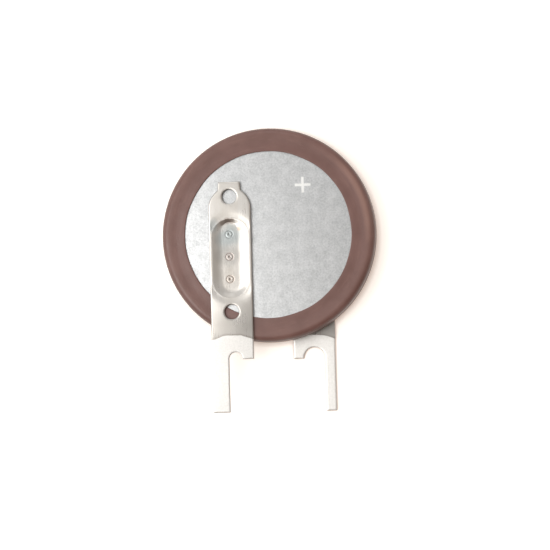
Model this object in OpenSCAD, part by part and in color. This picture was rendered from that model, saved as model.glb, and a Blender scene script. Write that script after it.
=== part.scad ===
// Rechargeable lithium coin cell with a shrunk rim sleeve and two welded solder tabs.
// Millimetres. The cell lies with its positive can up and its legs towards -Y.

/* [Cell] */
// Outside diameter of the crimped cell, without its sleeve
cell_diameter = 20; // [17:0.1:30]
// Height from the cap's face to the can's face
cell_height = 2; // [1.8:0.05:3.2]

/* [Positive can] */
// Sheet thickness of the can
can_wall = 0.25; // [0.2:0.01:0.3]
// Outside radius of the drawn edge round the positive face
can_corner = 0.45; // [0.35:0.01:0.55]
// Outside radius of the crimped edge round the negative face
crimp_corner = 0.5; // [0.4:0.01:0.6]
// How far the crimped lip reaches in from the can's outside
crimp_reach = 1; // [0.8:0.01:1.1]
// How far the cap's face stands proud of the crimped lip
cap_proud = 0.1; // [0.02:0.01:0.15]

/* [Negative cap] */
// Sheet thickness of the cap
cap_wall = 0.2; // [0.15:0.01:0.22]
// Ring left open between the crimped lip and the cap's raised face
cap_groove = 0.55; // [0.4:0.01:0.8]
// Inside radius of the cap's bends
cap_bend = 0.05; // [0.03:0.01:0.08]
// Gap inside the turned-back hem of the cap's rim
hem_gap = 0.05; // [0.03:0.01:0.08]
// Length of the turned-back leg of the hem
hem_length = 0.3; // [0.2:0.01:0.35]

/* [Gasket] */
// Plastic between the can's wall and the cap's rim
gasket_wall = 0.35; // [0.25:0.01:0.4]
// Plastic between the can's floor and the end of the cap's rim
gasket_foot = 0.25; // [0.15:0.01:0.3]
// Plastic between the crimped lip and the cap's shoulder
gasket_lip = 0.2; // [0.12:0.01:0.25]
// How far the gasket shows past the edge of the crimped lip
gasket_show = 0.3; // [0.1:0.01:0.35]
// How far the gasket's foot reaches in past the cap's rim
foot_reach = 0.3; // [0.1:0.01:0.5]

/* [Electrodes] */
// Gap between the cathode pellet's side and the gasket's foot
pellet_gap = 0.84; // [0.3:0.01:2]
// Thickness of the pressed cathode pellet
pellet_height = 0.75; // [0.5:0.01:0.8]
// Bevel that the press leaves on the pellet's edges
pellet_bevel = 0.08; // [0.02:0.01:0.15]
// Thickness of the separator
separator_height = 0.15; // [0.05:0.01:0.2]
// How far the separator stays inside the cap's rim
separator_inset = 0.15; // [0.1:0.01:0.5]
// How far the anode disc's edge lies inside the pellet's
anode_step = 0.3; // [0.1:0.01:1]

/* [Rim sleeve] */
// Wall of the shrunk sleeve
sleeve_wall = 0.15; // [0.08:0.01:0.2]
// How far the sleeve laps onto the cap's raised face, and as far in over the can's
sleeve_lap = 0.525; // [0.3:0.005:1.5]

/* [Tabs] */
// Distance of the positive tab's centre line from the cell's axis
positive_offset = 3.6; // [3:0.1:4.5]
// Width of each tab
tab_width = 4; // [3.6:0.1:4.8]
// Sheet thickness of each tab
tab_sheet = 0.2; // [0.15:0.01:0.25]
// Distance from the tab's upper end to the sleeve, along the tab's middle
top_margin = 1.96; // [1.5:0.01:2.5]
// Room between the sleeve and the tab that passes over it
tab_clearance = 0.1; // [0.05:0.01:0.3]
// Width of the square ear at its free edge
ear_width = 2.05; // [1.6:0.05:2.4]
// How much wider the ear is at its root
ear_flare = 0.2; // [0.05:0.05:0.4]
// How far the ear stands above the round end
ear_length = 0.5; // [0.2:0.05:0.6]
// Radius of the fillet at the ear's root
ear_fillet = 0.35; // [0.1:0.05:0.5]

/* [Holes and notch] */
// Diameter of the two pilot holes in each tab
pilot_diameter = 1.4; // [1:0.05:1.6]
// Distance from the tab's upper end to the upper pilot hole
upper_pilot = 1.4; // [1.2:0.05:1.6]
// Height of the lower pilot hole above the board seat
lower_pilot = 4.5; // [3.5:0.1:5]
// Depth of the straight part of the notch beside the leg
notch_straight = 0.05; // [0.05:0.05:0.5]

/* [Legs] */
// Room between the sleeve and the board that the feet stand on
seat_gap = 1.59; // [1:0.01:4]
// Length of each leg below the board seat
leg_length = 5; // [3:0.05:7]
// Distance between the middles of the two legs, across the cell
leg_pitch = 10.16; // [9.5:0.01:11]
// Width of the positive tab's leg
positive_leg = 1.65; // [1.2:0.05:1.9]
// Width of the positive tab's foot
positive_foot = 1.1; // [0.8:0.05:1.3]
// Width of the negative tab's leg
negative_leg = 1; // [0.8:0.05:1.3]
// Width of the negative tab's foot
negative_foot = 1; // [0.8:0.05:1.3]

/* [Welding pan] */
// Distance from the tab's upper end to the pressed pan
pan_start = 3.4; // [2.8:0.05:4]
// Distance from the pan's lower end to the sleeve, along the tab's middle
pan_margin = 1.36; // [1:0.01:2]
// Width of the pressed pan at the tab's face
pan_width = 3.1; // [2.8:0.05:3.3]
// Width of the pan's flat floor
pan_floor = 1.4; // [1.2:0.05:1.6]
// Radius of the pan's bends, at the middle of the sheet
pan_bend = 0.3; // [0.15:0.01:0.5]
// How far the row of welds lies off the pan's middle, towards the leg
weld_offset = 0.1; // [0:0.01:0.2]
// Distance from the outer welds to the ends of the pan's floor
weld_margin = 0.32; // [0.1:0.01:0.6]
// Diameter of each weld
weld_diameter = 0.8; // [0.6:0.05:0.95]
// Height of each weld above the pan's floor
weld_height = 0.06; // [0.03:0.01:0.1]
// Diameter of the pit in the middle of each weld
weld_pit = 0.2; // [0.1:0.01:0.3]

/* [Hidden] */
$fn = 96;

// Clearance between curved faces that fit together, and overlap that joins two shapes of one piece
fit = 0.01;
join = 0.05;

// How far a fillet runs into the edges that it joins, so that they clearly cross
graze = 0.001;

// A length worked out along the tab is rounded to a hundredth of a millimetre, as on a drawing
function drawn(length) = round(100 * length) / 100;

// Can: outside and inside radii, inner floor, lip
can_r = cell_diameter / 2;
can_inner_r = can_r - can_wall;
can_floor = cell_height - can_wall;
lip_r = can_r - crimp_reach;
lip_top = cap_proud + can_wall;

// Cap: face, shoulder and hemmed rim, each measured on the outside of the sheet
cap_outer_bend = cap_bend + cap_wall;
cap_r = lip_r - cap_groove;
shoulder = lip_top + gasket_lip;
rim_r = can_inner_r - gasket_wall - fit;
rim_end = can_floor - gasket_foot;
hem_bend = hem_gap / 2 + cap_wall;
hem_r = rim_r - hem_bend;
hem_z = rim_end - hem_bend;
inner_leg_r = rim_r - cap_wall - hem_gap;

// Inner edge of the gasket's foot
foot_r = inner_leg_r - cap_wall - foot_reach;

// Stack of electrodes from the can's floor down to the cap
pellet_bottom = can_floor - pellet_height;
separator_bottom = pellet_bottom - separator_height;
separator_r = inner_leg_r - cap_wall - separator_inset;
pellet_r = foot_r - pellet_gap;
anode_r = pellet_r - anode_step;

// Sleeve
sleeve_inner_r = can_r + fit;
sleeve_r = sleeve_inner_r + sleeve_wall;
opening_r = cap_r - sleeve_lap;

// Tab, along its middle: where the sleeve's opening cuts it, its upper end, its seat and its leg's end
half_chord = drawn(sqrt(pow(opening_r, 2) - pow(positive_offset, 2)));
tab_top = half_chord - top_margin;
round_end = tab_top - ear_length - tab_width / 2;
seat_drop = sleeve_r + seat_gap;
leg_end = seat_drop + leg_length;

// Ear: how far its sides lean out, and the middle of the fillet at its root on the right
ear_side = tab_top - round_end - tab_width / 4;
ear_lean = atan(ear_flare / (2 * ear_side));
root_middle =
    let (along = [sin(ear_lean), -cos(ear_lean)], outwards = [cos(ear_lean), sin(ear_lean)])
    let (from = [ear_width / 2, tab_top - round_end] + (ear_fillet - graze) * outwards)
    let (far = tab_width / 2 + ear_fillet - graze)
    from - (from * along + sqrt(pow(from * along, 2) - from * from + pow(far, 2))) * along;

// Pan: its place on the tab, and its slope, where the sheet's middle follows an arc, a line and an arc
pan_top = tab_top - pan_start;
pan_bottom = pan_margin - half_chord;
pan_middle = (pan_top + pan_bottom) / 2;
pan_straight = pan_top - pan_bottom - pan_width;
pan_depth = sleeve_wall + tab_clearance;
pan_slope = (pan_width - pan_floor) / 2;
slope_r = min(pan_bend, (pow(pan_slope, 2) + pow(pan_depth, 2)) / (4 * pan_depth));
slope_rise = pan_depth - 2 * slope_r;
slope_angle = atan2(slope_rise, pan_slope) + asin(2 * slope_r / norm([pan_slope, slope_rise]));
slope_steps = 6;
tab_height = pan_depth + tab_sheet;

// Welds: three in a row, the outer ones at a margin from the ends of the pan's floor
weld_pitch = (pan_straight + pan_floor - weld_diameter) / 2 - weld_margin;

// Each leg runs down the tab's outer edge, so the leg pitch places the negative tab
positive_leg_x = positive_offset + (tab_width - positive_leg) / 2;
negative_offset = leg_pitch - positive_leg_x - (tab_width - negative_leg) / 2;

// The model's frame: the middle of the bottom of the whole part's box
frame_y = (leg_end - sleeve_r) / 2;
frame_z = tab_height;

// Section shapes, in the plane of radius and height

// Upright rectangle from one corner to the other
module strip(r0, z0, r1, z1) {
    translate([r0, z0])
        square([r1 - r0, z1 - z0]);
}

// Quarter of a ring round a bend's centre, from one angle on
module bend(r, z, inner, outer, from) {
    translate([r, z])
        rotate(from)
            intersection() {
                difference() {
                    circle(r = outer);
                    circle(r = inner);
                }
                square(outer + join);
            }
}

// Positive can: face, drawn corner, wall, and the edge crimped in over the gasket
module can_section() {
    corner_r = can_r - can_corner;
    corner_z = cell_height - can_corner;
    crimp_r = can_r - crimp_corner;
    crimp_z = cap_proud + crimp_corner;
    strip(0, can_floor, corner_r, cell_height);
    bend(corner_r, corner_z, can_corner - can_wall, can_corner, 0);
    strip(can_inner_r, crimp_z, can_r, corner_z);
    bend(crimp_r, crimp_z, crimp_corner - can_wall, crimp_corner, 270);
    strip(lip_r, cap_proud, crimp_r, lip_top);
}

// Negative cap: face, flank, shoulder under the crimp, and a rim hemmed back on itself
module cap_section() {
    face_r = cap_r - cap_outer_bend;
    flank_top = shoulder - cap_bend;
    shoulder_r = cap_r + cap_bend;
    leg_r = inner_leg_r - cap_outer_bend;
    leg_z = shoulder + cap_outer_bend;
    strip(0, 0, face_r, cap_wall);
    bend(face_r, cap_outer_bend, cap_bend, cap_outer_bend, 270);
    strip(cap_r - cap_wall, cap_outer_bend, cap_r, flank_top);
    bend(shoulder_r, flank_top, cap_bend, cap_outer_bend, 90);
    strip(shoulder_r, shoulder, leg_r, shoulder + cap_wall);
    bend(leg_r, leg_z, cap_bend, cap_outer_bend, 270);
    strip(inner_leg_r - cap_wall, leg_z, inner_leg_r, hem_z);
    bend(hem_r, hem_z, hem_gap / 2, hem_bend, 0);
    bend(hem_r, hem_z, hem_gap / 2, hem_bend, 90);
    strip(rim_r - cap_wall, hem_z - hem_length, rim_r, hem_z);
}

// Gasket: lip under the crimp, wall inside the can, foot under the cap's rim
module gasket_section() {
    outer_r = can_inner_r - fit;
    inner_r = rim_r + fit;
    crimp_inner = crimp_corner - can_wall;
    crimp_r = outer_r - crimp_inner;
    crimp_z = lip_top + crimp_inner;
    corner_inner = can_corner - can_wall;
    corner_r = outer_r - corner_inner;
    corner_z = can_floor - corner_inner;
    difference() {
        union() {
            strip(lip_r - gasket_show, lip_top, outer_r, shoulder);
            strip(inner_r, lip_top, outer_r, can_floor);
            strip(foot_r, rim_end, outer_r, can_floor);
        }
        difference() {
            strip(crimp_r, lip_top - join, outer_r + join, crimp_z);
            translate([crimp_r, crimp_z])
                circle(r = crimp_inner);
        }
        difference() {
            strip(corner_r, corner_z, outer_r + join, can_floor + join);
            translate([corner_r, corner_z])
                circle(r = corner_inner);
        }
    }
}

// Rim sleeve: shrunk round both edges of the can and in over both faces
module sleeve_section() {
    corner_r = sleeve_inner_r - can_corner;
    corner_z = cell_height - can_corner;
    crimp_r = sleeve_inner_r - crimp_corner;
    crimp_z = cap_proud + crimp_corner;
    strip(opening_r, cell_height, corner_r, cell_height + sleeve_wall);
    bend(corner_r, corner_z, can_corner, can_corner + sleeve_wall, 0);
    strip(sleeve_inner_r, crimp_z, sleeve_r, corner_z);
    bend(crimp_r, crimp_z, crimp_corner, crimp_corner + sleeve_wall, 270);
    polygon([
        [opening_r, -sleeve_wall],
        [cap_r, -sleeve_wall],
        [lip_r, cap_proud - sleeve_wall],
        [crimp_r, cap_proud - sleeve_wall],
        [crimp_r, cap_proud],
        [lip_r, cap_proud],
        [cap_r, 0],
        [opening_r, 0]
    ]);
}

// Fillet at the ear's root: what a circle leaves of the corner between the ear and the round end
module ear_root(side) {
    along_ear = root_middle - (ear_fillet + ear_width / 2) * [cos(ear_lean), sin(ear_lean)];
    corner = [along_ear, [0, 0], root_middle];
    translate([0, round_end])
        difference() {
            polygon([for (i = [0:2]) let (point = corner[side > 0 ? i : 2 - i]) [side * point.x, point.y]]);
            translate([side * root_middle.x, root_middle.y])
                circle(r = ear_fillet);
        }
}

// Flat outline of a tab: round end with its ear, blade, leg at the left, foot at the right
module tab_outline(leg, foot) {
    half = tab_width / 2;
    notch_r = (tab_width - leg - foot) / 2;
    notch_x = leg - half + notch_r;
    notch_y = notch_straight - seat_drop;
    difference() {
        union() {
            translate([0, round_end])
                circle(r = half);
            translate([-half, -seat_drop])
                square([tab_width, seat_drop + round_end]);
            translate([-half, -leg_end])
                square([leg, leg_end + round_end]);
            polygon([
                [-ear_width / 2, tab_top],
                [ear_width / 2, tab_top],
                [ear_width / 2 + ear_flare / 2, round_end + half / 2],
                [-ear_width / 2 - ear_flare / 2, round_end + half / 2]
            ]);
            for (side = [-1, 1])
                ear_root(side);
        }
        translate([notch_x, notch_y])
            circle(r = notch_r);
        translate([notch_x - notch_r, -seat_drop - join])
            square([2 * notch_r, notch_straight + join]);
    }
}

// Stadium, the outline of the pan where it meets the tab's flat sheet
module pan_outline() {
    translate([-pan_width / 2, -pan_straight / 2])
        square([pan_width, pan_straight]);
    for (side = [-1, 1])
        translate([0, side * pan_straight / 2])
            circle(r = pan_width / 2);
}

// Points of an arc round a centre, from one angle on through a turn, without its last point
function arc(r, z, radius, from, turn) =
    [for (i = [0:slope_steps - 1])
        [r + radius * cos(from + turn * i / slope_steps),
         z + radius * sin(from + turn * i / slope_steps)]];

// Under side of the pan's slope, outwards: the floor's edge, a hollow arc, a line, a round arc, the sheet
function slope_under() =
    let (inner = slope_r - tab_sheet / 2, outer = slope_r + tab_sheet / 2)
    concat(
        arc(pan_floor / 2, outer, outer, 270, slope_angle),
        arc(pan_width / 2, tab_height - outer, inner, 90 + slope_angle, -slope_angle),
        [[pan_width / 2, pan_depth], [pan_width / 2 + join, pan_depth]]
    );

// Upper side of the pan's slope, back inwards
function slope_over() =
    let (inner = slope_r - tab_sheet / 2, outer = slope_r + tab_sheet / 2)
    concat(
        [[pan_width / 2 + join, tab_height]],
        arc(pan_width / 2, tab_height - outer, outer, 90, slope_angle),
        arc(pan_floor / 2, outer, inner, 270 + slope_angle, -slope_angle),
        [[pan_floor / 2, tab_sheet]]
    );

// The same points on the other side of the middle, in the opposite order
function opposite(points) =
    [for (i = [len(points) - 1:-1:0]) [-points[i].x, points[i].y]];

// Pan pressed down from the sheet, its floor resting on the face it is welded to
module pan() {
    rotate([90, 0, 0])
        linear_extrude(height = pan_straight, center = true)
            polygon(concat(slope_under(), slope_over(), opposite(slope_over()), opposite(slope_under())));
    for (turn = [0, 180])
        rotate(turn)
            translate([0, pan_straight / 2, 0])
                rotate_extrude(angle = 180)
                    polygon(concat([[0, 0]], slope_under(), slope_over(), [[0, tab_sheet]]));
}

// Weld: a low dome on the pan's floor with a pit in its middle
module weld() {
    dome_r = (pow(weld_diameter / 2, 2) + pow(weld_height, 2)) / (2 * weld_height);
    translate([0, 0, tab_sheet])
        rotate_extrude()
            difference() {
                intersection() {
                    translate([0, weld_height - dome_r])
                        circle(r = dome_r);
                    strip(0, -join, weld_diameter / 2, weld_height);
                }
                strip(0, 0, weld_pit / 2, weld_height + join);
            }
}

// Whole tab, lying on the face it is welded to, with its leg on the -X side
module tab(offset, leg, foot) {
    translate([-offset, 0, 0]) {
        difference() {
            translate([0, 0, pan_depth])
                linear_extrude(height = tab_sheet)
                    tab_outline(leg, foot);
            translate([0, pan_middle, pan_depth - join])
                linear_extrude(height = tab_sheet + 2 * join)
                    pan_outline();
            for (y = [tab_top - upper_pilot, lower_pilot - seat_drop])
                translate([0, y, pan_depth - join])
                    cylinder(d = pilot_diameter, h = tab_sheet + 2 * join);
        }
        translate([0, pan_middle, 0]) {
            pan();
            for (step = [-1:1])
                translate([-weld_offset, step * weld_pitch, 0])
                    weld();
        }
    }
}

// Moves a piece from the cell's own axis to the model's frame
module in_frame() {
    translate([0, frame_y, frame_z])
        children();
}

// Sub-parts

module positive_can()
    color("gainsboro")
        in_frame()
            rotate_extrude()
                can_section();

module negative_cap()
    color("silver")
        in_frame()
            rotate_extrude()
                cap_section();

module gasket()
    color("ivory")
        in_frame()
            rotate_extrude()
                gasket_section();

module cathode_pellet()
    color("dimgray")
        in_frame()
            rotate_extrude()
                polygon([
                    [0, pellet_bottom],
                    [pellet_r - pellet_bevel, pellet_bottom],
                    [pellet_r, pellet_bottom + pellet_bevel],
                    [pellet_r, can_floor - pellet_bevel],
                    [pellet_r - pellet_bevel, can_floor],
                    [0, can_floor]
                ]);

module separator()
    color("whitesmoke")
        in_frame()
            translate([0, 0, separator_bottom])
                cylinder(r = separator_r, h = separator_height);

module lithium_anode()
    color("lightslategray")
        in_frame()
            translate([0, 0, cap_wall])
                cylinder(r = anode_r, h = separator_bottom - cap_wall);

module rim_sleeve()
    color("rosybrown")
        in_frame()
            rotate_extrude()
                sleeve_section();

module positive_tab()
    color("lightgray")
        in_frame()
            translate([0, 0, cell_height])
                tab(positive_offset, positive_leg, positive_foot);

module negative_tab()
    color("lightgray")
        in_frame()
            rotate([0, 180, 0])
                tab(negative_offset, negative_leg, negative_foot);

positive_can();
negative_cap();
gasket();
cathode_pellet();
separator();
lithium_anode();
rim_sleeve();
positive_tab();
negative_tab();
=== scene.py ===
# %% [markdown]
# # A coin cell with two welded solder tabs
#
# The object is a rechargeable coin cell for a circuit board. A drawn steel can fills the front, a pressed
# steel cap fills the back, a brown shrink sleeve goes round the rim, and two sheet-metal tabs are welded on
# so that the cell can be soldered upright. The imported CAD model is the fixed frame: its solids say where
# every surface lies, and this script gives them the surfaces that a camera sees.

# %% Load the frame
import math

import bpy
import numpy as np
from mathutils import Matrix, Vector
from mathutils.geometry import delaunay_2d_cdt


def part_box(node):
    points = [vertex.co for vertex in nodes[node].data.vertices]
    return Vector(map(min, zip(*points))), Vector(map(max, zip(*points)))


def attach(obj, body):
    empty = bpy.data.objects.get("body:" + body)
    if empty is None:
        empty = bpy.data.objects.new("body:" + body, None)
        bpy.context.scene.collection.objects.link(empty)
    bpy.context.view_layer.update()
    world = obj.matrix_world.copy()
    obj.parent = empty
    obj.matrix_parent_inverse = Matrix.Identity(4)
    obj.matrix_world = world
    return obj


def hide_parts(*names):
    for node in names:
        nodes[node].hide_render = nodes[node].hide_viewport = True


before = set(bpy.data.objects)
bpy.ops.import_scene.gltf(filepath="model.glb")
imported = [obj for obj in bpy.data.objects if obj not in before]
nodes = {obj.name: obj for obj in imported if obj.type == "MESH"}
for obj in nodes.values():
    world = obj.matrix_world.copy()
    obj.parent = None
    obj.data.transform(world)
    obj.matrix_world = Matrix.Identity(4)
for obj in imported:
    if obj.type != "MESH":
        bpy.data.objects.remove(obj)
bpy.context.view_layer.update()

scene = bpy.context.scene
print("CAD nodes:", ", ".join(sorted(nodes)))

# %% [markdown]
# ## One set of measures
#
# The drawing of the cell is in millimetres and Blender works in metres, so every shape below is worked out
# in millimetres and scaled once. Heights are counted from the cap's face on the cell's axis, as on the
# drawing. The place of that point is read from the CAD solids, so nothing has to be fitted by eye.

# %% Measures of the cell
MM = 0.001

can_low, can_high = (np.array(corner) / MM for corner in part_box("positive_can"))
cap_low, cap_high = (np.array(corner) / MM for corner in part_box("negative_cap"))
AXIS = np.array([(can_low[0] + can_high[0]) / 2, (can_low[1] + can_high[1]) / 2, cap_low[2]])
CAN_RADIUS = (can_high[0] - can_low[0]) / 2
CELL_HEIGHT = can_high[2] - cap_low[2]
print("axis at", AXIS.round(3), "can radius", round(CAN_RADIUS, 3), "height", round(CELL_HEIGHT, 3))

# %% [markdown]
# ## Small tools
#
# A colour on a screen is written as an sRGB hex value, but a renderer adds up light, so the value is turned
# to linear once, in one place. Shader nodes are added by one short function. Patterns are given by the real
# size of their grain in millimetres: noise at scale 1 repeats about once a metre, so the scale is a thousand
# divided by that size.


# %% Colour and node helpers
def srgb(hex_colour):
    """Linear colour of an sRGB hex value: a straight line near black, and a power of 2.4 above it."""
    value = np.array([int(hex_colour[i : i + 2], 16) for i in (1, 3, 5)]) / 255
    linear = np.where(value <= 0.04045, value / 12.92, ((value + 0.055) / 1.055) ** 2.4)
    return (*linear.tolist(), 1.0)


def add(tree, kind, inputs=None, **settings):
    """Adds a shader node, sets its properties, and fills or links its inputs by name or number."""
    node = tree.nodes.new("ShaderNode" + kind)
    for name, value in settings.items():
        setattr(node, name, value)
    for key, value in (inputs or {}).items():
        if isinstance(value, bpy.types.NodeSocket):
            tree.links.new(value, node.inputs[key])
        else:
            node.inputs[key].default_value = value
    return node


def new_material(name, **shader):
    """A material with an empty tree but for its shader, whose own sockets hold what is the same all over."""
    material = bpy.data.materials.new(name)
    material.use_nodes = True
    tree = material.node_tree
    tree.nodes.clear()
    surface = add(tree, "BsdfPrincipled", {key.replace("_", " "): value for key, value in shader.items()})
    add(tree, "OutputMaterial", {"Surface": surface.outputs[0]})
    place = add(tree, "TexCoord").outputs["Object"]
    return material, tree, surface, place


def grain(tree, place, size, stretch=(1, 1, 1), detail=3, roughness=0.5):
    """Noise whose grains are size millimetres across, longer along an axis by its stretch."""
    scaled = add(tree, "VectorMath", {0: place, 1: [1 / s for s in stretch]}, operation="MULTIPLY").outputs[0]
    noise = {"Vector": scaled, "Scale": 1 / (size * MM), "Detail": detail, "Roughness": roughness}
    return add(tree, "TexNoise", noise).outputs[0]


def remap(tree, value, low, high, to_low=0.0, to_high=1.0, smooth=False):
    """Carries a range of a value onto another range, cut off at both ends."""
    inputs = {"Value": value, "From Min": low, "From Max": high, "To Min": to_low, "To Max": to_high}
    kind = "SMOOTHSTEP" if smooth else "LINEAR"
    return add(tree, "MapRange", inputs, interpolation_type=kind).outputs[0]


def maths(tree, operation, *values):
    """One arithmetic step on numbers or sockets."""
    return add(tree, "Math", dict(enumerate(values)), operation=operation).outputs[0]


def tint(tree, factor, first, second, blend="MIX"):
    """Mixes two colours, each an sRGB hex value or a socket."""
    colours = [srgb(c) if isinstance(c, str) else c for c in (first, second)]
    inputs = {0: factor, 6: colours[0], 7: colours[1]}
    return add(tree, "Mix", inputs, data_type="RGBA", blend_type=blend).outputs[2]


def emboss(tree, height, depth, before=None):
    """Bumps a surface by a height from 0 to 1 that stands for so many millimetres."""
    inputs = {"Height": height, "Distance": depth * MM, "Strength": 1.0}
    if before is not None:
        inputs["Normal"] = before
    return add(tree, "Bump", inputs).outputs[0]


# %% [markdown]
# ## Camera
#
# The photograph was taken from almost straight above the lying cell, with a long lens, a few degrees to the
# right of the cell's axis and a few degrees towards its legs. Those angles, the roll and the scale were
# fitted to the edges of the sleeve and of both tabs, whose sizes are known from the drawing. The camera
# stands 250 mm away, and looks at the point that lies in the middle of the picture.

# %% Make the camera
YAW, PITCH, ROLL = np.radians([6.26, 5.33, 1.53])
DISTANCE = 250.0
PIXELS_PER_MM = 10.48
PICTURE = 550
CELL_PIXEL = np.array([270.54, 236.28])
SENSOR = 36.0

level = np.array([math.cos(YAW), 0, -math.sin(YAW)])
towards = np.array([math.cos(PITCH) * math.sin(YAW), -math.sin(PITCH), math.cos(PITCH) * math.cos(YAW)])
upright = np.cross(towards, level)
right = math.cos(ROLL) * level - math.sin(ROLL) * upright
up = math.sin(ROLL) * level + math.cos(ROLL) * upright
stand = AXIS + DISTANCE * towards
middle = (PICTURE / 2 - CELL_PIXEL) * [1, -1] / PIXELS_PER_MM
aim = AXIS + middle[0] * right + middle[1] * up

back = (stand - aim) / np.linalg.norm(stand - aim)
side = np.cross(up, back)
side /= np.linalg.norm(side)
camera_data = bpy.data.cameras.new("camera")
camera_data.sensor_width = SENSOR
camera_data.lens = SENSOR * PIXELS_PER_MM * DISTANCE / PICTURE
camera_data.clip_start, camera_data.clip_end = 0.01, 10
camera = bpy.data.objects.new("camera", camera_data)
turn = Matrix(np.column_stack((side, np.cross(back, side), back)).tolist())
camera.matrix_world = Matrix.Translation(Vector(stand * MM)) @ turn.to_4x4()
scene.collection.objects.link(camera)
scene.camera = camera
print("lens", round(camera_data.lens, 1), "mm at", (stand * MM).round(4))

# %% [markdown]
# ## From numbers to a mesh
#
# Each new piece is an array of points in millimetres and an array of faces. One function scales the points,
# makes the mesh, smooths it except at sharp edges, gives it a finish, and lets it ride on the cell's body.
# The volume that the faces enclose is printed: it is positive only where they close and point outwards.


# %% Make a piece from points and faces
def volume(points, triangles):
    """Enclosed volume: a sixth of the sum of each triangle's first corner dotted with the cross of the others."""
    a, b, c = (points[triangles[:, i]] for i in range(3))
    return np.einsum("ij,ij->i", a, np.cross(b, c)).sum() / 6


def make_piece(name, points, faces, material, stands_for, sharp=40):
    """Makes one closed mesh from points in millimetres and rows of three or four corners."""
    mesh = bpy.data.meshes.new(name)
    mesh.from_pydata((points * MM).tolist(), [], [row for part in faces for row in part.tolist()])
    mesh.validate()
    mesh.polygons.foreach_set("use_smooth", np.ones(len(mesh.polygons), bool))
    mesh.set_sharp_from_angle(angle=math.radians(sharp))
    mesh.materials.append(material)
    piece = bpy.data.objects.new(name, mesh)
    scene.collection.objects.link(piece)
    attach(piece, "root")
    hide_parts(stands_for)
    halves = [part if part.shape[1] == 3 else np.concatenate((part[:, :3], part[:, [0, 2, 3]])) for part in faces]
    triangles = np.concatenate(halves)
    low, high = points.min(0), points.max(0)
    print(f"{name}: {len(triangles)} triangles, {volume(points, triangles):.1f} mm3, {low.round(3)} to {high.round(3)}")
    return piece


# %% [markdown]
# ## Nickel-plated steel of the can
#
# The can is drawn from a strip of steel that is plated with nickel. The plating is matt: it breaks the light
# up into fine pale and dark specks, and the roll that made the strip leaves faint straight streaks. The
# maker's lettering is left off. A plain plus sign, as etched on any battery, marks the pole instead: a laser
# melts the surface there to a paler, rougher white.


# %% Material of the can
def plus_mask(tree, place, centre, arm, stroke, edge=0.03):
    """1 inside a plus sign: two bars, each the smaller of two steps across and along it, joined by the larger."""
    offset = add(tree, "VectorMath", {0: place, 1: [c * MM for c in centre]}, operation="SUBTRACT").outputs[0]
    apart = add(tree, "SeparateXYZ", {0: offset}).outputs
    x, y = maths(tree, "ABSOLUTE", apart[0]), maths(tree, "ABSOLUTE", apart[1])

    def within(value, half):
        return remap(tree, value, (half - edge) * MM, (half + edge) * MM, 1.0, 0.0)

    flat = maths(tree, "MINIMUM", within(x, arm / 2), within(y, stroke / 2))
    tall = maths(tree, "MINIMUM", within(x, stroke / 2), within(y, arm / 2))
    return maths(tree, "MAXIMUM", flat, tall)


def nickel_plate(name, pale, dark, roughness, mark=None):
    """Matt nickel: specks of 0.16 mm, blotches of 0.9 mm, and streaks of the strip's rolling along Y."""
    material, tree, surface, place = new_material(name, Metallic=1.0)
    specks = grain(tree, place, 0.16, detail=2, roughness=0.7)
    blotches = grain(tree, place, 0.9, detail=4, roughness=0.6)
    streaks = grain(tree, place, 0.22, stretch=(1, 14, 1), detail=2)
    level = maths(tree, "ADD", maths(tree, "MULTIPLY", specks, 0.5), maths(tree, "MULTIPLY", blotches, 0.35))
    level = maths(tree, "ADD", level, maths(tree, "MULTIPLY", streaks, 0.08))
    level = maths(tree, "ADD", level, 0.035)
    colour = tint(tree, remap(tree, level, 0.36, 0.64), dark, pale)
    rough = remap(tree, level, 0.3, 0.7, roughness + 0.06, roughness - 0.06)
    centred = add(tree, "VectorMath", {0: place, 1: list(AXIS * MM)}, operation="SUBTRACT").outputs[0]
    apart = add(tree, "SeparateXYZ", {0: centred}).outputs
    flat = add(tree, "CombineXYZ", {0: apart[0], 1: apart[1]}).outputs[0]
    squared = add(tree, "VectorMath", {0: flat, 1: flat}, operation="DOT_PRODUCT").outputs["Value"]
    dome = maths(tree, "MULTIPLY", squared, -1 / (CAN_RADIUS * MM) ** 2)
    level = maths(tree, "ADD", level, maths(tree, "MULTIPLY", dome, 0.15 / 0.012))
    normal = emboss(tree, level, 0.012)
    if mark:
        etched = plus_mask(tree, place, *mark)
        colour = tint(tree, maths(tree, "MULTIPLY", etched, 0.75), colour, "#F6F6F4")
        rough = maths(tree, "ADD", rough, maths(tree, "MULTIPLY", etched, 0.2))
    tree.links.new(colour, surface.inputs["Base Color"])
    tree.links.new(rough, surface.inputs["Roughness"])
    tree.links.new(normal, surface.inputs["Normal"])
    return material


PLUS = ((AXIS[0] + 3.4, AXIS[1] + 4.6, 0), 1.5, 0.24)
can_steel = nickel_plate("matt_nickel_plate_can", "#D2D3D4", "#AFB1B2", 0.38, PLUS)
cap_steel = nickel_plate("matt_nickel_plate_cap", "#DEDDDA", "#BDBCBA", 0.36)
print("made", can_steel.name, "and", cap_steel.name)

# %% [markdown]
# ## Shrink film of the rim sleeve
#
# The sleeve is a short length of brown heat-shrink film. It is slid over the rim and shrunk with hot air, so
# it grips the wall and folds in over both faces. Film of this kind is satin, with fine wrinkles that run
# round the rim, because it shrank in that direction. A slightly paler streak on the front shoulder, on one
# side of the rim only, is a painted highlight, and the darker outer edge and wall all round are painted shade.


# %% Material of the sleeve
HIGHLIGHT_SIDE = (math.cos(math.radians(21)), math.sin(math.radians(21)))


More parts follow.
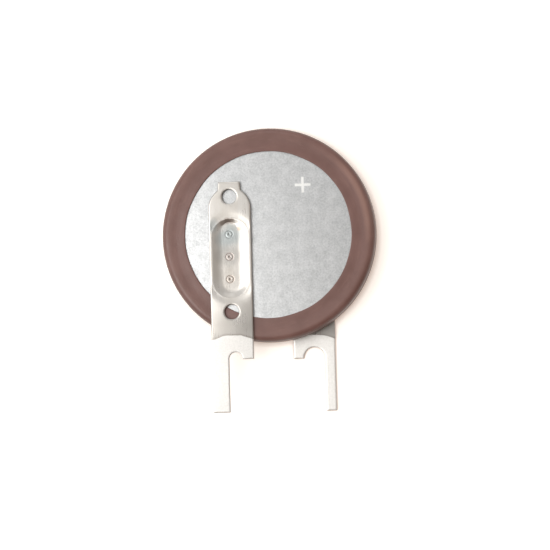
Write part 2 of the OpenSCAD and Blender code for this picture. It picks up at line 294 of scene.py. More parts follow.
def shrink_film(name, body, shade, worn, painted_highlight, wall):
    """Satin brown film: wrinkles that run round the axis, from noise that varies fast across and slowly along."""
    material, tree, surface, place = new_material(name, IOR=1.53)
    centred = add(tree, "VectorMath", {0: place, 1: list(AXIS * MM)}, operation="SUBTRACT").outputs[0]
    apart = add(tree, "SeparateXYZ", {0: centred}).outputs
    flat = add(tree, "CombineXYZ", {0: apart[0], 1: apart[1]}).outputs[0]
    radius = add(tree, "VectorMath", {0: flat}, operation="LENGTH").outputs["Value"]
    slow = [maths(tree, "MULTIPLY", apart[i], 0.22) for i in (0, 1)]
    height = maths(tree, "ADD", radius, maths(tree, "MULTIPLY", apart[2], 1.7))
    round_the_rim = add(tree, "CombineXYZ", {0: slow[0], 1: slow[1], 2: height}).outputs[0]
    wrinkles = grain(tree, round_the_rim, 0.3, detail=3, roughness=0.55)
    clouds = grain(tree, place, 2.4, detail=3)
    pores = grain(tree, place, 0.12, detail=1)
    colour = tint(tree, remap(tree, clouds, 0.35, 0.65), shade, body)
    colour = tint(tree, remap(tree, wrinkles, 0.56, 0.74, 0.0, 0.35), colour, worn)
    # A paler streak on the front shoulder, on one side of the rim only, is a painted highlight.
    highlight_facing = add(tree, "VectorMath", {0: flat, 1: (*HIGHLIGHT_SIDE, 0)}, operation="DOT_PRODUCT").outputs["Value"]
    highlight_side_mask = remap(tree, maths(tree, "DIVIDE", highlight_facing, radius), 0.84, 0.985, 0.12, 1.0, True)
    rising = remap(tree, radius, (CAN_RADIUS - 1.0) * MM, (CAN_RADIUS - 0.55) * MM, 0.0, 0.5, True)
    falling = remap(tree, radius, (CAN_RADIUS - 0.4) * MM, (CAN_RADIUS - 0.1) * MM, 1.0, 0.0, True)
    colour = tint(tree, maths(tree, "MULTIPLY", highlight_side_mask, maths(tree, "MULTIPLY", rising, falling)), colour, painted_highlight)
    # The outer edge of the shoulder and the wall are painted darker all round the rim: painted shade.
    painted_wall_shade = remap(tree, radius, (CAN_RADIUS - 0.04) * MM, (CAN_RADIUS + 0.1) * MM, 0.0, 0.6, True)
    colour = tint(tree, painted_wall_shade, colour, wall)
    rough = remap(tree, wrinkles, 0.3, 0.7, 0.34, 0.47)
    height = maths(tree, "ADD", wrinkles, maths(tree, "MULTIPLY", pores, 0.35))
    tree.links.new(colour, surface.inputs["Base Color"])
    tree.links.new(rough, surface.inputs["Roughness"])
    tree.links.new(emboss(tree, height, 0.01), surface.inputs["Normal"])
    return material


sleeve_film = shrink_film("satin_heat_shrink_film", "#75544D", "#6B4B44", "#846259", "#9C786B", "#4C312A")
print("made", sleeve_film.name)

# %% [markdown]
# ## The sleeve's shape
#
# A section through the rim shows a thin letter C: a lip on the front face, a round corner, the wall, a
# second round corner and a lip that steps up over the crimp onto the cap. That closed section is carried
# round the axis. Real film doesn't end in a perfect circle, so the lips' edges wander by a few hundredths of
# a millimetre, and the lips lie a little lower in the middle than at the edge, which stays thick.

# %% Section of the sleeve
FILM = 0.15
BORE = CAN_RADIUS + 0.01
LIP = 7.925
FRONT = CELL_HEIGHT


def arc(centre, radius, start, end, count):
    """Points of an arc round a centre, by the cosine and sine of evenly spaced angles in degrees."""
    angles = np.radians(np.linspace(start, end, count))
    return np.column_stack((centre[0] + radius * np.cos(angles), centre[1] + radius * np.sin(angles)))


def straight(start, end, count):
    """Evenly spaced points between two ends, both left out."""
    share = np.linspace(0, 1, count + 2)[1:-1, None]
    return np.array(start) * (1 - share) + np.array(end) * share


front_corner, crimp_corner = (BORE - 0.45, FRONT - 0.45), (BORE - 0.5, 0.6)
outer = np.concatenate([
    arc((LIP + 0.05, FRONT + FILM - 0.05), 0.05, 180, 90, 5),
    straight((LIP + 0.05, FRONT + FILM), (front_corner[0], FRONT + FILM), 14),
    arc(front_corner, 0.45 + FILM, 90, 0, 14),
    straight((BORE + FILM, front_corner[1]), (BORE + FILM, 0.6), 14),
    arc(crimp_corner, 0.5 + FILM, 0, -90, 20),
    straight((crimp_corner[0], 0.1 - FILM), (9.0, 0.1 - FILM), 4),
    straight((9.0, 0.1 - FILM), (8.45, -FILM), 6),
    straight((8.45, -FILM), (LIP + 0.05, -FILM), 4),
    arc((LIP + 0.05, 0.05 - FILM), 0.05, 270, 180, 5),
])
inner = np.concatenate([
    straight((LIP, 0), (8.45, 0), 3),
    straight((8.45, 0), (9.0, 0.1), 3),
    arc(crimp_corner, 0.5, -90, 0, 8),
    arc(front_corner, 0.45, 0, 90, 8),
    straight((front_corner[0], FRONT), (LIP, FRONT), 6),
])
section = np.concatenate([outer, inner])
print(len(section), "points in the section")

# %% [markdown]
# A surface of revolution is a grid: one direction runs round the section and the other round the axis. The
# wandering edge is a sum of a few slow waves in the angle, and it fades out with the distance from the edge,
# so the wall stays round.


# %% Carry the section round the axis
def waves(angle, seed, orders, size):
    """Sum of cosines of whole-number orders with seeded phases, scaled to a largest size."""
    draw = np.random.default_rng(seed)
    parts = [draw.uniform(0.5, 1) * np.cos(n * angle + draw.uniform(0, 2 * np.pi)) for n in orders]
    total = np.sum(parts, axis=0)
    return size * total / np.abs(total).max()


STEPS = 480
angle = np.linspace(0, 2 * np.pi, STEPS, endpoint=False)[:, None]
radius, height = section[:, 0][None], section[:, 1][None]
near_lip = np.clip(1 - (radius - LIP) / 1.0, 0, 1) ** 2
front_lip, rear_lip = near_lip * (height > 1), near_lip * (height < 1)
wander = waves(angle, 3, (2, 3, 5, 8, 13), 0.035) * front_lip + waves(angle, 4, (2, 3, 4, 7, 11), 0.05) * rear_lip
on_top = (height > FRONT + 0.6 * FILM) & (radius < front_corner[0])
sag = 0.035 * np.sin(np.pi * np.clip((radius - LIP) / (front_corner[0] - LIP), 0, 1)) ** 2
ripple = waves(angle, 5, (9, 14, 23, 31), 0.008) * front_lip
fold = 0.035 * np.exp(-(((height - 0.42) / 0.1) ** 2)) - 0.03 * np.exp(-(((height - 1.1) / 0.45) ** 2))
radii = radius + wander + fold * (radius > BORE + 0.5 * FILM)
heights = height - on_top * (sag + 0.008 * front_lip - ripple)
grid = np.stack((radii * np.cos(angle), radii * np.sin(angle), np.broadcast_to(heights, radii.shape)), axis=-1)

count = len(section)
turns, steps = np.meshgrid(np.arange(STEPS), np.arange(count), indexing="ij")
next_turn, next_step = (turns + 1) % STEPS, (steps + 1) % count
corners = [turns * count + steps, turns * count + next_step, next_turn * count + next_step, next_turn * count + steps]
quads = np.stack(corners, axis=-1).reshape(-1, 4)
sleeve = make_piece("shrink_sleeve", grid.reshape(-1, 3) + AXIS, [quads], sleeve_film, "rim_sleeve", 60)

# %% [markdown]
# ## Tinned strip steel of the tabs
#
# The tabs are stamped from bright plated strip. Rolling leaves very fine lines along the strip, and handling
# leaves a soft sheen. The welds tint the metal round them straw and brown, because heat thickens its oxide.
# Round the pan, darker patches on its floor and at its head are painted shade, a blue-grey patch up on the
# left is a painted reflection, and a small brown spot beside the head is a painted highlight. The cut edges
# are darker, partly as bare steel and partly as painted shade. The lower end of each tab was dipped in
# solder: there the metal is white, smooth and a little thicker, with a curved edge, and a grey line along
# that edge. The two tabs' solder differs in colour only for the light: painted paler on the rear tab, which
# lies in the cell's shade, and darker on the front one.


# %% Material of the tabs
def distance_from(tree, place, centre, whole=True):
    """Distance in the XY plane from a point given in millimetres, in metres; only sideways below it if not whole."""
    point = [centre[0] * MM, centre[1] * MM, 0]
    apart = add(tree, "VectorMath", {0: place, 1: point}, operation="SUBTRACT").outputs[0]
    x, y, _ = add(tree, "SeparateXYZ", {0: apart}).outputs
    if not whole:
        y = maths(tree, "MAXIMUM", y, 0.0)
    flat = add(tree, "CombineXYZ", {0: x, 1: y}).outputs[0]
    return add(tree, "VectorMath", {0: flat}, operation="LENGTH").outputs["Value"]


DIPS = {"front": ((-3.6, -10.91), 4.75), "rear": ((3.84, -10.7), 4.5)}
WELDS = [(-0.1, y) for y in (-4.13, -2.0, 0.13)]


def strip_steel(name, dip, welds, tin):
    """Bright strip with lines along Y, tinted by its welds and by painted light and shade round its pan and edges, and
    dipped in solder inside a circle.
    """
    material, tree, surface, place = new_material(name, Metallic=1.0)
    lines = grain(tree, place, 0.1, stretch=(1, 40, 1), detail=3, roughness=0.6)
    clouds = grain(tree, place, 1.6, stretch=(1, 1.8, 1), detail=3)
    specks = grain(tree, place, 0.14, detail=2)
    colour = tint(tree, remap(tree, clouds, 0.35, 0.65), "#BFBBB5", "#CBC8C4")
    colour = tint(tree, remap(tree, lines, 0.4, 0.72, 0.0, 0.22), colour, "#BDB4AA")
    rough = remap(tree, maths(tree, "ADD", lines, clouds), 0.7, 1.3, 0.36, 0.26)
    height = maths(tree, "ADD", maths(tree, "MULTIPLY", lines, 0.7), maths(tree, "MULTIPLY", specks, 0.3))
    for weld, heat in zip(welds, ("#745443", "#8A5C50", "#747874")):
        far = distance_from(tree, place, weld)
        ring = maths(tree, "MULTIPLY", remap(tree, far, 0.26 * MM, 0.34 * MM), remap(tree, far, 0.34 * MM, 0.44 * MM, 1, 0))
        pit = remap(tree, far, 0.07 * MM, 0.13 * MM, 1, 0)
        disc = maths(tree, "MULTIPLY", remap(tree, far, 0.28 * MM, 0.36 * MM, 1, 0), 0.3)
        marked = maths(tree, "MULTIPLY", maths(tree, "MAXIMUM", ring, pit), 0.8)
        colour = tint(tree, maths(tree, "MAXIMUM", marked, disc), colour, heat)
    first = welds[-1]
    # These patches are painted light, not heat tint. The darker tones on the pan's floor and at its head are painted
    # shade. The blue-grey patch up on the left is a painted reflection. The small brown spot right of the head is a
    # painted highlight.
    painted_light_patches = ((first, (-0.1, -0.3), 1.6, "#9AA2A3", 0.75), (first, (-1.65, 0.75), 0.9, "#A3ADAF", 0.5),
               (first, (1.0, 0.55), 0.3, "#B08E72", 0.5), (welds[1], (0, 0.2), 1.4, "#A09E9A", 0.6),
               (welds[0], (0, -0.1), 1.3, "#AEA8A0", 0.4), (first, (-0.6, 1.08), 0.34, "#8F8178", 0.5),
               (first, (-0.15, 1.27), 0.34, "#85776E", 0.65), (first, (0.3, 1.27), 0.34, "#85776E", 0.65))
    for (x, y), (right, ahead), size, film, most in painted_light_patches:
        far = maths(tree, "ADD", distance_from(tree, place, (x + right, y + ahead)), remap(tree, clouds, 0.2, 0.8, -0.4 * size * MM, 0.4 * size * MM))
        colour = tint(tree, remap(tree, far, 0.35 * size * MM, size * MM, most, 0.0, True), colour, film)
    uneven = remap(tree, clouds, 0.2, 0.8, -0.12 * MM, 0.12 * MM)
    far = maths(tree, "ADD", distance_from(tree, place, dip[0], False), uneven)
    inside = remap(tree, far, (dip[1] - 0.04) * MM, (dip[1] + 0.02) * MM, 1, 0)
    edge = remap(tree, far, (dip[1] + 0.02) * MM, (dip[1] + 0.22) * MM, 1, 0)
    past = remap(tree, far, (dip[1] + 1.2) * MM, (dip[1] + 4.6) * MM, 1, 0)
    tin = tint(tree, remap(tree, specks, 0.35, 0.65), *tin)
    colour = tint(tree, maths(tree, "MULTIPLY", past, 0.8), colour, "#9D9994")
    colour = tint(tree, maths(tree, "MULTIPLY", edge, 0.6), colour, "#7E7872")
    colour = tint(tree, inside, colour, tin)
    rough = maths(tree, "ADD", rough, maths(tree, "MULTIPLY", inside, 0.1))
    apart = add(tree, "VectorMath", {0: place, 1: [(welds[0][0] + 0.1) * MM, 0, 0]}, operation="SUBTRACT").outputs[0]
    x, y, _ = add(tree, "SeparateXYZ", {0: apart}).outputs
    crown = maths(tree, "MULTIPLY", maths(tree, "MULTIPLY", x, x), -0.04 / (0.006 * (2 * MM) ** 2))
    crown = maths(tree, "MULTIPLY", crown, remap(tree, y, -3.4 * MM, -1.8 * MM, 1, 0, True))
    crown = maths(tree, "MULTIPLY", crown, remap(tree, y, -6.6 * MM, -5.6 * MM, 0, 1, True))
    normal = emboss(tree, maths(tree, "ADD", height, crown), 0.006)
    # Faces standing on edge are darker and rougher. This is partly the bare steel of the cut and partly painted shade
    # along the tab's edges.
    facing = add(tree, "SeparateXYZ", {0: add(tree, "TexCoord").outputs["Normal"]}).outputs[2]
    cut_edge_and_shade = remap(tree, maths(tree, "ABSOLUTE", facing), 0.35, 0.75, 0.6, 0)
    colour = tint(tree, cut_edge_and_shade, colour, "#8A7F76")
    rough = maths(tree, "ADD", rough, maths(tree, "MULTIPLY", cut_edge_and_shade, 0.25))
    tree.links.new(colour, surface.inputs["Base Color"])
    tree.links.new(rough, surface.inputs["Roughness"])
    tree.links.new(normal, surface.inputs["Normal"])
    return material


# %% [markdown]
# ## The tabs' outline
#
# A tab is cut in one stroke: a round end with a square ear, which held it to the strip, a straight blade, a
# foot that stands on the board, a round notch, and a leg that goes through the board. The outline is a chain
# of straight lines and arcs, sampled evenly. A moving average along the chain rounds each corner by a few
# hundredths of a millimetre, as a worn die does.

# %% Outline of a tab
SHEET = 0.2
DROP = 0.25
HALF = 2.0
SEAT = -11.75
LEG_END = -16.75
ROUND_END = 2.6
TAB_TOP = 5.1
EAR_TOP, EAR_FLARE, EAR_FILLET = 1.025, 0.2, 0.35
SPACING = 0.07


def even(chain, spacing):
    """Points at equal steps along a closed chain, by linear interpolation over its running length."""
    closed = np.concatenate([chain, chain[:1]])
    length = np.concatenate([[0], np.cumsum(np.linalg.norm(np.diff(closed, axis=0), axis=1))])
    at = np.linspace(0, length[-1], round(length[-1] / spacing), endpoint=False)
    return np.column_stack([np.interp(at, length, closed[:, i]) for i in (0, 1)])


def softened(chain, reach):
    """Average of each point of a closed chain with its neighbours, weighted by a bell curve."""
    fine = even(chain, 0.01)
    offsets = np.arange(-3 * reach, 3 * reach + 0.005, 0.01)
    weights = np.exp(-0.5 * (offsets / reach) ** 2)
    rolled = [w * np.roll(fine, round(o / 0.01), axis=0) for o, w in zip(offsets, weights)]
    return even(np.sum(rolled, axis=0) / weights.sum(), SPACING)


def shoulder():
    """Round end and ear on the right: the end's arc, a fillet that touches it and the ear's side, a corner.

    The fillet's middle is as far outside the ear's side as its radius, and as far outside the end's arc."""
    lean = math.atan(EAR_FLARE / (2 * (TAB_TOP - ROUND_END - HALF / 2)))
    along = np.array([math.sin(lean), -math.cos(lean)])
    start = np.array([EAR_TOP, TAB_TOP - ROUND_END]) + EAR_FILLET * np.array([math.cos(lean), math.sin(lean)])
    ahead = start @ along
    middle = start - (ahead + math.sqrt(ahead**2 - start @ start + (HALF + EAR_FILLET) ** 2)) * along
    meet = math.degrees(math.atan2(middle[1], middle[0]))
    fillet = arc(middle + [0, ROUND_END], EAR_FILLET, 180 + meet, 180 + math.degrees(lean), 20)
    return np.concatenate([arc((0, ROUND_END), HALF, 0, meet, 60), fillet, [(EAR_TOP, TAB_TOP)]])


def tab_outline(leg, foot):
    """Chain of the tab's edge, with its material on the left, from the leg's outer corner."""
    notch = (2 * HALF - leg - foot) / 2
    return np.concatenate([
        [(-HALF, LEG_END), (leg - HALF, LEG_END)],
        arc((leg - HALF + notch, SEAT + 0.05), notch, 180, 0, 60),
        [(HALF - foot, SEAT), (HALF, SEAT)],
        shoulder(),
        shoulder()[::-1] * [-1, 1],
    ])


def hole(y, radius):
    """A round hole on the tab's centre line, with the material on the left, so it runs clockwise."""
    return arc((0, y), radius, 0, -360, 65)[:-1]


UPPER_HOLE, LOWER_HOLE = hole(TAB_TOP - 1.4, 0.7), hole(4.5 + SEAT, 0.7)
print("outline of", len(softened(tab_outline(1.65, 1.1), 0.04)), "points")

# %% [markdown]
# ## The tabs' height
#
# Everything else about a tab is a height over that outline. The die leaves a rounded edge on the side it
# enters from, the height falling along a quarter ellipse. The welding pan is pressed down to touch the can:
# between the pan's floor and its rim the sheet bends up, runs straight and bends level again, and the slope
# is steeper at the pan's head than along its flanks. The sheet round the pan is drawn in a little. Each weld
# is a low button with a pit where the electrode stood, and solder thickens the dipped end.

# %% Heights over the outline
PAN_MIDDLE = -2.0
PAN_STRAIGHT = 4.3
RIM_RADIUS, FLOOR_RADIUS = 1.8, 0.7
HEAD_SHIFT, FOOT_SHIFT, RIM_SHORT = np.array([-0.06, 0.42]), 0.3, 0.25
NARROW, TIGHT = (0.5, 0.85, 1.1), (0.3, 1.3, 2.4)
BARE = 0.012


def to_segment(points, start, end):
    """Distance of points from a line segment, and where along it from 0 to 1 the nearest point is."""
    along = end - start
    share = np.clip((points - start) @ along / max(along @ along, 1e-12), 0, 1)
    return np.linalg.norm(points - start - share[:, None] * along, axis=1), share


def to_chain(points, chain):
    """Distance of points from the nearest of a closed chain's segments, in slices that fit in memory."""
    ends = np.roll(chain, -1, axis=0)
    along = ends - chain
    squared = (along**2).sum(1)
    nearest = []
    for part in np.array_split(points, max(1, len(points) // 2000)):
        apart = part[:, None] - chain[None]
        share = np.clip((apart * along).sum(2) / squared, 0, 1)
        nearest.append(np.linalg.norm(apart - share[..., None] * along, axis=2).min(1))
    return np.concatenate(nearest)


FLOOR_ENDS = np.array([[0, PAN_MIDDLE - PAN_STRAIGHT / 2], [0, PAN_MIDDLE + PAN_STRAIGHT / 2]])
FLOOR_ENDS[0, 1] -= FOOT_SHIFT
RIM_ENDS = FLOOR_ENDS + [[0, RIM_SHORT], [0, -RIM_SHORT]]
FLOOR_ENDS[1] += HEAD_SHIFT


def slope(across, width, face):
    """Height of a bent slope over the floor, on the sheet's middle, or half a sheet above or below it.

    A wide hollow arc and a tight round one are joined by a line that touches both. The line's angle is that of
    the arcs' centres from each other, plus the angle whose sine is the sum of the radii over the centres'
    distance. The radii shrink together on a narrow slope, where the sum can't pass the squared distance of the
    slope's ends over twice its height."""
    both = np.minimum(np.interp(width, NARROW, TIGHT), 0.96 * (width**2 + DROP**2) / (2 * DROP))
    high = np.maximum(0.13, 0.08 * both)
    low = both - high
    rise = DROP - both
    turn = np.arctan2(rise, width) + np.arcsin(np.minimum(both / np.hypot(width, rise), 1))
    low_r, high_r = low - face * SHEET / 2, high + face * SHEET / 2
    rest = width - across
    hollow = low - np.sqrt(np.maximum(low_r**2 - across**2, 0))
    round_ = DROP - high + np.sqrt(np.maximum(high_r**2 - rest**2, 0))
    line = low - low_r * np.cos(turn) + (across - low_r * np.sin(turn)) * np.tan(turn)
    return np.where(across < low_r * np.sin(turn), hollow, np.where(rest < high_r * np.sin(turn), round_, line))


def below(points, dip):
    """Distance from a solder line's centre, counted sideways only below it, because the whole end is dipped."""
    apart = points - dip[0]
    return np.hypot(apart[:, 0], np.maximum(apart[:, 1], 0))


def tab_heights(points, outline, dip):
    """Top and bottom heights of a tab over plan points, counted from the face it is welded to."""
    from_floor = to_segment(points, *FLOOR_ENDS)[0] - FLOOR_RADIUS
    from_rim = RIM_RADIUS - to_segment(points, *RIM_ENDS)[0]
    across, rest = np.maximum(from_floor, 0), np.maximum(from_rim, 0)
    width = np.maximum(across + rest, 1e-6)
    top, bottom = (SHEET / 2 + slope(across, width, face) for face in (1, -1))
    raised = (across / width) ** 2
    drawn_in = 0.06 * np.exp(-((np.maximum(-from_rim, 0) / 0.4) ** 2)) * slope(across, width, 0) / DROP
    crown = 0.01 * (points[:, 0] / HALF) ** 2 * raised
    wet = 1 / (1 + np.exp((below(points, dip) - dip[1]) / 0.05))
    edge = to_chain(points, outline)
    hole_edge = np.minimum(to_chain(points, UPPER_HOLE), to_chain(points, LOWER_HOLE))
    worn = rolled(edge, 0.13, 0.06) + rolled(hole_edge, 0.16, 0.06)
    top = top - drawn_in - crown - BARE * (1 - wet) * raised - worn
    bottom = bottom - drawn_in - crown + wet * rolled(edge, 0.15, 0.07)
    for weld in WELDS:
        far = np.linalg.norm(points - weld, axis=1)
        button = 0.003 / (1 + np.exp((far - 0.3) / 0.03))
        moat = 0.012 * np.exp(-(((far - 0.34) / 0.035) ** 2))
        pit = 0.035 / (1 + np.exp((far - 0.08) / 0.015))
        top = top + button - moat - pit
    return top, bottom


def rolled(distance, width, depth):
    """Fall of a die-rolled edge: a quarter ellipse as wide and as deep as given."""
    return depth * (1 - np.sqrt(1 - np.clip(1 - distance / width, 0, 1) ** 2))


# %% [markdown]
# ## Triangles where the shape needs them
#
# A triangulation connects scattered points, so points go where the height changes: rows that follow every
# edge inwards, rows down the pan's slope, rings round each weld, and a loose grid elsewhere. The
# triangulation keeps each outline as a chain of edges. Triangles whose centre lies outside the outline or in
# a hole are dropped by counting how many edges a line from the centre crosses.


# %% Points and triangles of a tab
def rows_inside(outline, others, depths):
    """Points moved in from an outline along its normals, where no edge is nearer than that."""
    along = np.roll(outline, -1, axis=0) - np.roll(outline, 1, axis=0)
    inwards = np.column_stack((-along[:, 1], along[:, 0])) / np.linalg.norm(along, axis=1)[:, None]
    rows = [outline + depth * inwards for depth in depths]
    kept = []
    for row, depth in zip(rows, depths):
        clear = np.min([to_chain(row, chain) for chain in others], axis=0) > 0.93 * depth
        kept.append(row[clear])
    return np.concatenate(kept)


def pan_rows(levels, count):
    """Points between the pan's floor and rim: both stadiums are walked together, and joined by straight lines."""
    turn = np.radians(np.linspace(0, 180, count))
    cap = np.column_stack((np.cos(turn), np.sin(turn)))
    share = np.linspace(0, 1, count)[1:-1, None]

    def stadium(ends, radius):
        head, tail = ends[1] + radius * cap, ends[0] - radius * cap
        return np.concatenate([head, head[-1] * (1 - share) + tail[0] * share, tail, tail[-1] * (1 - share) + head[0] * share])

    floor, rim = stadium(FLOOR_ENDS, FLOOR_RADIUS), stadium(RIM_ENDS, RIM_RADIUS)
    return np.concatenate([floor + (rim - floor) * level for level in levels])


def weld_rings(radii, count):
    """Rings of points round each weld, with its centre."""
    turn = np.linspace(0, 2 * np.pi, count, endpoint=False)
    ring = np.column_stack((np.cos(turn), np.sin(turn)))
    return np.concatenate([[weld] for weld in WELDS] + [ring * r + weld for r in radii for weld in WELDS])


def inside(points, chains):
    """True where a line from the point crosses the chains an odd number of times."""
    start = np.concatenate(chains)
    end = np.concatenate([np.roll(chain, -1, axis=0) for chain in chains])
    odd = []
    for part in np.array_split(points, max(1, len(points) // 2000)):
        x, y = part[:, 0, None], part[:, 1, None]
        spans = (start[:, 1] > y) != (end[:, 1] > y)
        rise = np.where(end[:, 1] == start[:, 1], 1, end[:, 1] - start[:, 1])
        meets = start[:, 0] + (y - start[:, 1]) * (end[:, 0] - start[:, 0]) / rise
        odd.append((spans & (x < meets)).sum(1) % 2 == 1)
    return np.concatenate(odd)


def triangulated(chains, loose):
    """Delaunay triangles inside closed chains, counter-clockwise, with the points that they use."""
    flat = np.concatenate([*chains, loose])
    starts = np.cumsum([0] + [len(chain) for chain in chains])
    edges = [np.column_stack((np.arange(a, b), np.roll(np.arange(a, b), -1))) for a, b in zip(starts, starts[1:])]
    rims = np.concatenate(edges).tolist()
    points, _, triangles, _, _, _ = delaunay_2d_cdt([Vector(p) for p in flat.tolist()], rims, [], 0, 1e-5)
    points, triangles = np.array([tuple(p) for p in points]), np.array(triangles)
    triangles = triangles[inside(points[triangles].mean(1), chains)]
    a, b, c = (points[triangles[:, i]] for i in range(3))
    area = (b[:, 0] - a[:, 0]) * (c[:, 1] - a[:, 1]) - (b[:, 1] - a[:, 1]) * (c[:, 0] - a[:, 0])
    triangles[area < 0] = triangles[area < 0][:, ::-1]
    used, triangles = np.unique(triangles, return_inverse=True)
    return points[used], triangles.reshape(-1, 3)


def tab_plan(leg, foot):
    """Outline, plan points and triangles of one tab."""
    outline = softened(tab_outline(leg, foot), 0.04)
    chains = [outline, UPPER_HOLE, LOWER_HOLE]
    depths = (0.015, 0.04, 0.075, 0.115, 0.17, 0.24)
    edges = np.concatenate([rows_inside(chain, chains, depths) for chain in chains])
    slopes = pan_rows(np.linspace(0, 1.12, 22), 44)
    slopes = slopes[to_chain(slopes, outline) > 0.27]
    welds = weld_rings((0.04, 0.065, 0.08, 0.095, 0.11, 0.14, 0.2, 0.25, 0.29, 0.32, 0.35, 0.38, 0.42, 0.5), 28)
    x, y = np.meshgrid(np.arange(-HALF, HALF, 0.26), np.arange(LEG_END, TAB_TOP, 0.26))
    loose = np.column_stack((x.ravel(), y.ravel()))
    loose = loose[inside(loose, chains)]
    from_edge = np.min([to_chain(loose, chain) for chain in chains], axis=0)
    from_floor = to_segment(loose, *FLOOR_ENDS)[0] - FLOOR_RADIUS
    from_rim = RIM_RADIUS - to_segment(loose, *RIM_ENDS)[0]
    from_weld = np.min([np.linalg.norm(loose - weld, axis=1) for weld in WELDS], axis=0)
    free = (from_edge > 0.34) & ((from_rim < -0.25) | ((from_floor < -0.08) & (from_weld > 0.6)))
    points, triangles = triangulated(chains, np.concatenate([edges, slopes, welds, loose[free]]))
    return outline, points, triangles


# %% [markdown]
# ## Close the sheet
#
# The same triangles serve the top and, turned over, the bottom. Where an edge belongs to one triangle only,
# the sheet ends, and an upright wall joins top and bottom there. The tab at the back is the same sheet
# turned half round about Y, so it keeps its handedness and its faces still point outwards.


# %% Make the two tabs
def close_sheet(plan, triangles, top, bottom):
    """Points and faces of a closed sheet: top, bottom turned over, and a wall on every open edge."""
    count = len(plan)
    points = np.concatenate([np.column_stack((plan, top)), np.column_stack((plan, bottom))])
    edges = np.concatenate([triangles[:, [0, 1]], triangles[:, [1, 2]], triangles[:, [2, 0]]])
    there, back_again = edges[:, 0] * count + edges[:, 1], edges[:, 1] * count + edges[:, 0]
    rim = edges[~np.isin(there, back_again)]
    walls = np.column_stack((rim[:, 0] + count, rim[:, 1] + count, rim[:, 1], rim[:, 0]))
    return points, [triangles, triangles[:, ::-1] + count, walls]


def make_tab(name, node, leg, foot, turned):
    """One tab in its place: flat on the can's face, or turned half round about Y under the cap's."""
    low, high = (np.array(corner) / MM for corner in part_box(node))
    centre = (low[0] + high[0]) / 2
    hand = -1 if turned else 1
    dip_centre, dip_radius = DIPS["rear" if turned else "front"]
    dip = (np.array([hand * (dip_centre[0] - centre), dip_centre[1] - AXIS[1]]), dip_radius)
    outline, plan, triangles = tab_plan(leg, foot)
    top, bottom = tab_heights(plan, outline, dip)
    points, faces = close_sheet(plan, triangles, top, bottom)
    face = AXIS[2] if turned else AXIS[2] + CELL_HEIGHT
    points = points * [hand, 1, hand] + [centre, AXIS[1], face]
    welds = [(hand * x + centre, y + AXIS[1]) for x, y in WELDS]
    # The two tabs' solder differs only in how light falls on it. It is painted paler on the rear tab, which lies in the
    # cell's shade, and darker on the front tab: painted light and shade.
    tin = ("#E2E0DC", "#E9E7E4") if turned else ("#CCCAC7", "#D4D2CF")
    steel = strip_steel(f"tinned_strip_steel_{name}", (dip_centre, dip_radius), welds, tin)
    return make_piece(name, points, faces, steel, node)


front_tab = make_tab("front_tab", "positive_tab", 1.65, 1.1, False)
rear_tab = make_tab("rear_tab", "negative_tab", 1.0, 1.0, True)

# %% [markdown]
# ## Finishes of the CAD solids
#
# The can and the cap are seen only where the sleeve is open, and their flat faces are right as they are, so
# they keep their CAD solids and get the plated steel. The pieces inside are never seen in one piece, but a
# part is also shown in section, so each gets the finish of its real material: moulded polypropylene, pressed
# oxide powder, porous film and a soft, dull alloy.


# %% Materials of the pieces inside
def plain_finish(name, first, second, size, rough, depth, **shader):
    """Two close colours in grains of a size, with roughness that follows them and a slight relief."""
    material, tree, surface, place = new_material(name, **shader)
    pattern = grain(tree, place, size, detail=3)
    spread = remap(tree, pattern, 0.35, 0.65)
    tree.links.new(tint(tree, spread, first, second), surface.inputs["Base Color"])
    tree.links.new(remap(tree, pattern, 0.3, 0.7, rough - 0.06, rough + 0.06), surface.inputs["Roughness"])
    tree.links.new(emboss(tree, pattern, depth), surface.inputs["Normal"])
    return material


# Moulded polypropylene is milky and half gloss, with hardly any relief.
seal = plain_finish("moulded_polypropylene", "#DAD9D2", "#E6E5DF", 0.8, 0.4, 0.004, IOR=1.49)
# Pressed oxide powder is nearly black and dead matt, with grains of about 0.1 mm.
powder = plain_finish("pressed_oxide_powder", "#2B2A2A", "#3A3938", 0.1, 0.85, 0.02, IOR=1.6)
# Porous film is white and matt. Its real pores are far smaller than the 0.15 mm drawn here.
film = plain_finish("porous_separator_film", "#E9E9E6", "#F4F4F2", 0.15, 0.75, 0.008, IOR=1.5)
# The anode's alloy is soft and grey, dulled by a skin of oxide that breaks up in patches.
alloy = plain_finish("dull_lithium_aluminium", "#8F9194", "#A9ABAE", 0.4, 0.55, 0.01, Metallic=1.0)

finishes = {
    "positive_can": can_steel,
    "negative_cap": cap_steel,
    "gasket": seal,
    "cathode_pellet": powder,
    "separator": film,
    "lithium_anode": alloy,
    "rim_sleeve": sleeve_film,
    "positive_tab": front_tab.data.materials[0],
    "negative_tab": rear_tab.data.materials[0],
}
for node, material in finishes.items():
    slots = nodes[node].material_slots
    if len(slots):
        for slot in slots:
            slot.material = material
    else:
        nodes[node].data.materials.append(material)
print("finishes on", len(finishes), "nodes")

# %% [markdown]
# ## Floor
#
# The cell lies on the outer face of its rear tab, on a plain white table. Part of the table's brightness for
# the camera, and for rays that metal and glass send to it, is light of its own, so that it reads as white
# paper, while the object's shadow on it stays. Close to the object that light of its own grows weaker and
# turns pink-brown: a painted contact shadow and a painted brown bounce from the sleeve.

# %% Make the floor
reach = 600.0
floor_points = [(x, y, 0.0) for x, y in ((-reach, -reach), (reach, -reach), (reach, reach), (-reach, reach))]
floor_mesh = bpy.data.meshes.new("floor")
floor_mesh.from_pydata([tuple(c * MM for c in p) for p in floor_points], [], [(0, 1, 2, 3)])
floor = bpy.data.objects.new("floor", floor_mesh)
scene.collection.objects.link(floor)

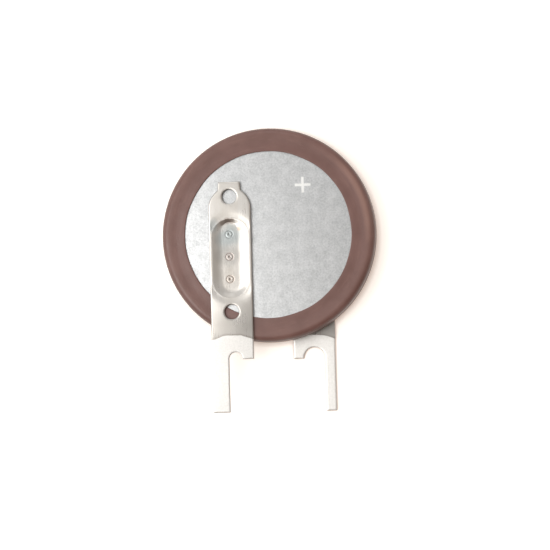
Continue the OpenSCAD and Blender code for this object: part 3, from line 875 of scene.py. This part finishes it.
paper = bpy.data.materials.new("white_paper")
paper.use_nodes = True
tree = paper.node_tree
tree.nodes.clear()
rays = add(tree, "LightPath").outputs
seen = maths(tree, "MAXIMUM", rays["Is Camera Ray"], rays["Is Glossy Ray"])
seen = maths(tree, "MAXIMUM", seen, rays["Is Transmission Ray"])
matt = add(tree, "BsdfDiffuse", {"Color": srgb("#F0EEEC")}).outputs[0]
# Where the object closes off the sky, the table's own light is weaker and browner: painted shadow and painted bounce.
open_sky = add(tree, "AmbientOcclusion", {"Distance": 0.9 * MM}, samples=16).outputs["AO"]
colour = tint(tree, remap(tree, open_sky, 0.5, 0.98), "#D9B9A6", "#FFF4E9")
strength = maths(tree, "MULTIPLY", seen, remap(tree, open_sky, 0.45, 0.98, 0.3, 0.6))
glow = add(tree, "Emission", {"Color": colour, "Strength": strength}).outputs[0]
mixed = add(tree, "AddShader", {0: matt, 1: glow}).outputs[0]
add(tree, "OutputMaterial", {"Surface": mixed})
floor_mesh.materials.append(paper)
print("floor of", 2 * reach, "mm at the rear tab's face")

# %% [markdown]
# ## Light
#
# Metal shows its surroundings, so they are part of the lighting. The world is a soft room: bright overhead
# and to the left, where the window is, warm grey to the right, and dark low in front, where the camera and
# its stand are. One broad lamp, near and to the upper left, grades the flat faces from left to right and
# throws the soft shadow to the lower right.

# %% World and lamp
scene.view_settings.view_transform = "Standard"
world = bpy.data.worlds.new("studio")
scene.world = world
world.use_nodes = True
tree = world.node_tree
tree.nodes.clear()
looking = add(tree, "TexCoord").outputs["Generated"]
leftward = add(tree, "VectorMath", {0: looking, 1: (-0.8, 0.55, 0.25)}, operation="DOT_PRODUCT").outputs["Value"]
frontward = add(tree, "VectorMath", {0: looking, 1: (0.48, -0.87, 0.12)}, operation="DOT_PRODUCT").outputs["Value"]
room = tint(tree, remap(tree, leftward, -0.6, 0.1, smooth=True), "#C6BBB1", "#D9D5D0")
room = tint(tree, remap(tree, leftward, 0.1, 0.6, smooth=True), room, "#FFFFFF")
room = tint(tree, remap(tree, frontward, 0.5, 0.8, smooth=True), room, "#9A8D85")
low_right = add(tree, "VectorMath", {0: looking, 1: (0.9, -0.25, -0.4)}, operation="DOT_PRODUCT").outputs["Value"]
room = tint(tree, remap(tree, low_right, 0.62, 0.9, smooth=True), room, "#4A3A33")
background = add(tree, "Background", {"Color": room, "Strength": 0.91}).outputs[0]
add(tree, "OutputWorld", {"Surface": background})


def area_lamp(name, place, size, power, colour):
    """A square lamp at a place in millimetres, turned to face the cell."""
    data = bpy.data.lights.new(name, "AREA")
    data.size, data.energy, data.color = size * MM, power, srgb(colour)[:3]
    lamp = bpy.data.objects.new(name, data)
    lamp.location = Vector(place) * MM
    lamp.rotation_euler = (Vector(AXIS) * MM - lamp.location).to_track_quat("-Z", "Y").to_euler()
    scene.collection.objects.link(lamp)


area_lamp("window", (-41, -6, 66), 52, 0.026, "#FFFDFA")
area_lamp("back wall", (-8, 58, 50), 30, 0.0045, "#FFFDFA")
area_lamp("far wall", (78, 24, 44), 24, 0.005, "#FFF6EE")
print("world and lamp made")
